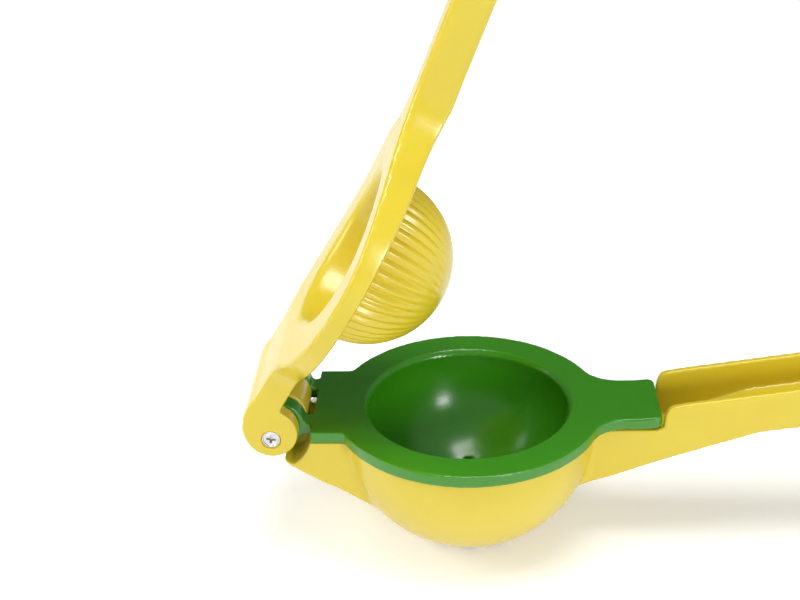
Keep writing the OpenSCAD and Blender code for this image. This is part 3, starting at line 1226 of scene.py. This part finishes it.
class Paint:
    """Wires a material's shader nodes."""

    def __init__(self, name: str) -> None:
        """Starts a material whose only node is a principled shader."""
        self.material = bpy.data.materials.new(name)
        self.material.use_nodes = True
        self.nodes = self.material.node_tree.nodes
        self.links = self.material.node_tree.links
        self.shader = self.nodes["Principled BSDF"]
        self.place = self.nodes.new("ShaderNodeTexCoord").outputs["Object"]

    def noise(self, size: float, detail: float) -> Socket:
        """Noise whose blotches are about the given size across, in metres."""
        node = self.nodes.new("ShaderNodeTexNoise")
        node.inputs["Scale"].default_value = 1 / size
        node.inputs["Detail"].default_value = detail
        self.links.new(self.place, node.inputs["Vector"])
        return node.outputs["Fac"]

    def spread(self, source: Socket, low: float, high: float) -> Socket:
        """Stretches a noise's middle range onto low to high."""
        return ramp(self.material.node_tree, source, (0.3, 0.7), (low, high))

    def blend(self, factor: Socket, one: Colour, other: Colour) -> Socket:
        """Mixes two colours by a factor."""
        node = self.nodes.new("ShaderNodeMix")
        node.data_type = "RGBA"
        sockets = [socket for socket in node.inputs if socket.type == "RGBA"]
        sockets[0].default_value = (*one, 1)
        sockets[1].default_value = (*other, 1)
        self.links.new(factor, node.inputs["Factor"])
        return next(socket for socket in node.outputs if socket.type == "RGBA")

    def bump(self, height: Socket, depth: float, over: Socket | None = None) -> Socket:
        """Raises a bump of the given depth in metres, over another bump if there is one."""
        node = self.nodes.new("ShaderNodeBump")
        node.inputs["Distance"].default_value = depth
        self.links.new(height, node.inputs["Height"])
        if over:
            self.links.new(over, node.inputs["Normal"])
        return node.outputs["Normal"]

    def feed(self, socket: str, source: Socket) -> None:
        """Links a node to one of the shader's sockets."""
        self.links.new(source, self.shader.inputs[socket])

    def set(self, **values: float) -> None:
        """Sets plain values on the shader's sockets, named with underscores for spaces."""
        for name, value in values.items():
            self.shader.inputs[name.replace("_", " ")].default_value = value


@dataclass(frozen=True)
class Enamel:
    """Glossy baked enamel over a casting.

    Attributes:
        name: The material's name.
        colour: Its linear colour.
        deep: The same colour where the coat has pooled a little thicker.
        roughness: How soft its reflections are.
        unevenness: How far that drifts either way.
        spray_depth: Depth of the fine skin that spraying leaves, in metres.
        cast_depth: Depth of the casting's waves under it, in metres.
    """

    name: str
    colour: Colour
    deep: Colour
    roughness: float = 0.235
    unevenness: float = 0.03
    spray_depth: float = 0.000004
    cast_depth: float = 0.00003

    def mix(self) -> bpy.types.Material:
        """Builds the material: a faint drift of tone, a sprayed skin and an even gloss."""
        paint = Paint(self.name)
        tone = paint.spread(paint.noise(0.024, 3), 0, 1)
        paint.feed("Base Color", paint.blend(tone, self.colour, self.deep))
        low, high = self.roughness - self.unevenness, self.roughness + self.unevenness
        paint.feed("Roughness", paint.spread(paint.noise(0.007, 4), low, high))
        skin = paint.bump(paint.noise(0.0022, 1), self.spray_depth)
        paint.feed("Normal", paint.bump(paint.noise(0.012, 1), self.cast_depth, skin))
        paint.set(IOR=1.5, Specular_IOR_Level=0.7)
        return paint.material


@dataclass(frozen=True)
class TurnedSteel:
    """Bright steel with the fine rings that a lathe leaves.

    Attributes:
        name: The material's name.
        colour: Its linear colour.
        dull: Its colour where handling has dulled it.
        axis: The pin's axis in X and Z, in metres.
        ring_depth: Depth of the rings, in metres.
        ring_scale: How closely they lie.
        ring_bend: How far they stray from true circles.
    """

    name: str
    colour: Colour
    dull: Colour
    axis: Point
    ring_depth: float = 0.00001
    ring_scale: float = 900
    ring_bend: float = 1.5

    def mix(self) -> bpy.types.Material:
        """Builds the material: metal, rings about the pin's axis and small stains."""
        paint = Paint(self.name)
        paint.set(Metallic=1)
        centre = paint.nodes.new("ShaderNodeMapping")
        centre.inputs["Location"].default_value = (-self.axis[0], 0, -self.axis[1])
        paint.links.new(paint.place, centre.inputs["Vector"])
        rings = paint.nodes.new("ShaderNodeTexWave")
        rings.wave_type, rings.rings_direction = "RINGS", "Y"
        rings.inputs["Scale"].default_value = self.ring_scale
        rings.inputs["Distortion"].default_value = self.ring_bend
        paint.links.new(centre.outputs["Vector"], rings.inputs["Vector"])
        paint.feed("Normal", paint.bump(rings.outputs["Fac"], self.ring_depth))
        paint.feed("Roughness", paint.spread(paint.noise(0.0012, 3), 0.16, 0.3))
        stains = paint.spread(paint.noise(0.002, 3), 0, 1)
        paint.feed("Base Color", paint.blend(stains, self.colour, self.dull))
        return paint.material


# --------------------------------------------------------------------------- studio


@dataclass(frozen=True)
class Lamp:
    """A square soft lamp that faces the squeezer.

    Attributes:
        name: Its name.
        place: Where it stands, in metres.
        size: Its width.
        power: Its power in watts.
    """

    name: str
    place: Place
    size: float
    power: float

    def light(self) -> None:
        """Adds the lamp, turned towards the squeezer."""
        data = bpy.data.lights.new(self.name, "AREA")
        data.energy, data.size = self.power, self.size
        lamp = bpy.data.objects.new(self.name, data)
        aim = Vector(AIM) - Vector(self.place)
        turn = aim.to_track_quat("-Z", "Y").to_matrix().to_4x4()
        lamp.matrix_world = Matrix.Translation(self.place) @ turn
        bpy.context.scene.collection.objects.link(lamp)


@dataclass(frozen=True)
class Studio:
    """Floor, room, lamps and camera.

    Attributes:
        eye: The camera's place, in metres.
        yaw: Turn of the view to the left, in radians.
        pitch: Tilt of the view upwards, in radians.
        roll: Turn of the picture, in radians.
        focal: Focal length on a sensor 36 mm wide, in millimetres.
        lamps: The soft lamps.
        room: Brightness of the room in front, at the sides and above.
        behind: Brightness of the room behind the squeezer.
        floor: Linear colour of the floor.
        near_glow: What the floor adds to its brightness in view under the squeezer.
        far_glow: What it adds far from the lamps.
        glow_range: How far from the squeezer that change starts and ends, in metres.
        floor_size: Width of the floor, in metres.
        floor_dull: Tone of the floor's darker patches, as a share of its colour.
        wall_tilt: Height of the dim wall's middle over the horizon, in radians.
        wall_edge: Cosines of the angles from there between which the room dims.
    """

    eye: Place = (0.000138, -0.310707, 0.231995)
    yaw: float = 0.059
    pitch: float = -0.474
    roll: float = -0.036
    focal: float = 57.68
    lamps: tuple[Lamp, ...] = (
        Lamp("TopLamp", (0.05, -0.1, 1.3), 0.55, 8.5),
        Lamp("KeyLamp", (0.555, -0.9, 0.32), 0.26, 4.2),
        Lamp("LeftLamp", (-1.0, -0.1, 0.7), 0.75, 7),
    )
    room: float = 0.36
    behind: float = 0.12
    floor: Colour = (0.88, 0.88, 0.88)
    near_glow: float = 0.34
    far_glow: float = 0.75
    glow_range: Point = (0.35, 2)
    floor_size: float = 60
    floor_dull: float = 0.98
    wall_tilt: float = 0.5
    wall_edge: Point = (0.45, 0.9)

    def set_camera(self) -> None:
        """Adds the camera and makes it the scene's own."""
        cos_p, sin_p = math.cos(self.pitch), math.sin(self.pitch)
        forward = Vector((-math.sin(self.yaw) * cos_p, math.cos(self.yaw) * cos_p, sin_p))
        right = Vector((math.cos(self.yaw), math.sin(self.yaw), 0))
        up = right.cross(forward)
        cos_r, sin_r = math.cos(self.roll), math.sin(self.roll)
        turn = Matrix((cos_r * right + sin_r * up, cos_r * up - sin_r * right, -forward)).transposed()
        data = bpy.data.cameras.new("Camera")
        data.lens, data.sensor_width, data.clip_start = self.focal, 36, 0.01
        camera = bpy.data.objects.new("Camera", data)
        camera.matrix_world = Matrix.Translation(self.eye) @ turn.to_4x4()
        bpy.context.scene.collection.objects.link(camera)
        bpy.context.scene.camera = camera

    def lay_floor(self) -> None:
        """Adds a wide pale floor that keeps the squeezer's shadow."""
        Bench.clear()
        bpy.ops.mesh.primitive_plane_add(size=self.floor_size)
        floor = bpy.context.object
        floor.name = "Floor"
        paint = Paint("PaleFloor")
        duller = tuple(self.floor_dull * channel for channel in self.floor)
        paint.feed("Base Color", paint.blend(paint.noise(0.06, 3), self.floor, duller))
        paint.set(Roughness=0.7)
        path = paint.nodes.new("ShaderNodeLightPath")
        seen = paint.nodes.new("ShaderNodeMath")
        seen.operation = "MAXIMUM"
        paint.links.new(path.outputs["Is Camera Ray"], seen.inputs[0])
        paint.links.new(path.outputs["Is Glossy Ray"], seen.inputs[1])
        away = paint.nodes.new("ShaderNodeVectorMath")
        away.operation = "LENGTH"
        paint.links.new(paint.place, away.inputs[0])
        glows = (self.near_glow, self.far_glow)
        rise = ramp(paint.material.node_tree, away.outputs["Value"], self.glow_range, glows)
        glow = paint.nodes.new("ShaderNodeMath")
        glow.operation = "MULTIPLY"
        paint.links.new(rise, glow.inputs[1])
        paint.links.new(seen.outputs[0], glow.inputs[0])
        paint.shader.inputs["Emission Color"].default_value = (1, 1, 1, 1)
        paint.feed("Emission Strength", glow.outputs[0])
        paint.material.cycles.emission_sampling = "NONE"
        floor.data.materials.append(paint.material)

    def light_room(self) -> None:
        """Lights the room evenly, apart from a dimmer wall behind the squeezer."""
        world = bpy.data.worlds.new("Room")
        world.use_nodes = True
        tree = world.node_tree
        background = tree.nodes["Background"]
        background.inputs["Color"].default_value = (1, 1, 1, 1)
        towards = tree.nodes.new("ShaderNodeTexCoord")
        back = tree.nodes.new("ShaderNodeVectorMath")
        back.operation = "DOT_PRODUCT"
        back.inputs[1].default_value = (0, math.cos(self.wall_tilt), math.sin(self.wall_tilt))
        tree.links.new(towards.outputs["Generated"], back.inputs[0])
        fall = ramp(tree, back.outputs["Value"], self.wall_edge, (self.room, self.behind))
        tree.links.new(fall, background.inputs["Strength"])
        bpy.context.scene.world = world

    def build(self) -> None:
        """Sets the whole studio up."""
        self.light_room()
        self.set_camera()
        self.lay_floor()
        for lamp in self.lamps:
            lamp.light()
        bpy.context.scene.view_settings.view_transform = "Standard"


# --------------------------------------------------------------------------- assembly


def dress(piece: Piece, body: Body, slot: Slot, material: bpy.types.Material, node: str) -> None:
    """Gives a piece its finish and its body, and hides the node that it stands for.

    Args:
        piece: The finished piece.
        body: The body that it rides on.
        slot: The slot that its finish belongs to; it is not used.
        material: The finish itself.
        node: The node that it replaces.
    """
    piece.data.materials.clear()
    piece.data.materials.append(material)
    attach(piece, body.value)
    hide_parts(node)
    LOG.info("%s: %d faces, rides on %s", piece.name, len(piece.data.polygons), body.value)


def main() -> None:
    """Builds the squeezer, then its studio."""
    logging.basicConfig(level=logging.INFO)
    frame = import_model()
    hinge = Hinge(Datum.read(frame, flange_t=3.5))
    pin_x, pin_z = hinge.datum.pin
    yellow = Enamel("YellowEnamel", (0.78, 0.615, 0.034), (0.76, 0.59, 0.03)).mix()
    green = Enamel("GreenEnamel", (0.042, 0.27, 0.006), (0.038, 0.25, 0.005)).mix()
    axis = (pin_x * MM, (pin_z + hinge.datum.deck) * MM)
    steel = TurnedSteel("PinSteel", (0.74, 0.73, 0.72), (0.52, 0.51, 0.5), axis).mix()
    pin = Pin(hinge)
    dress(LowerArm(hinge).build(), Body.BOWL_ARM, Slot.YELLOW, yellow, "lower_arm")
    dress(StrainerCup(hinge).build(), Body.CUP, Slot.GREEN, green, "strainer_cup")
    dress(PressArm(hinge).build(), Body.PRESS, Slot.YELLOW, yellow, "press_arm")
    dress(pin.screw(), Body.PRESS, Slot.STEEL, steel, "pin_screw")
    dress(pin.barrel(), Body.PRESS, Slot.STEEL, steel, "pin_barrel")
    Studio().build()


if __name__ == "__main__":
    main()
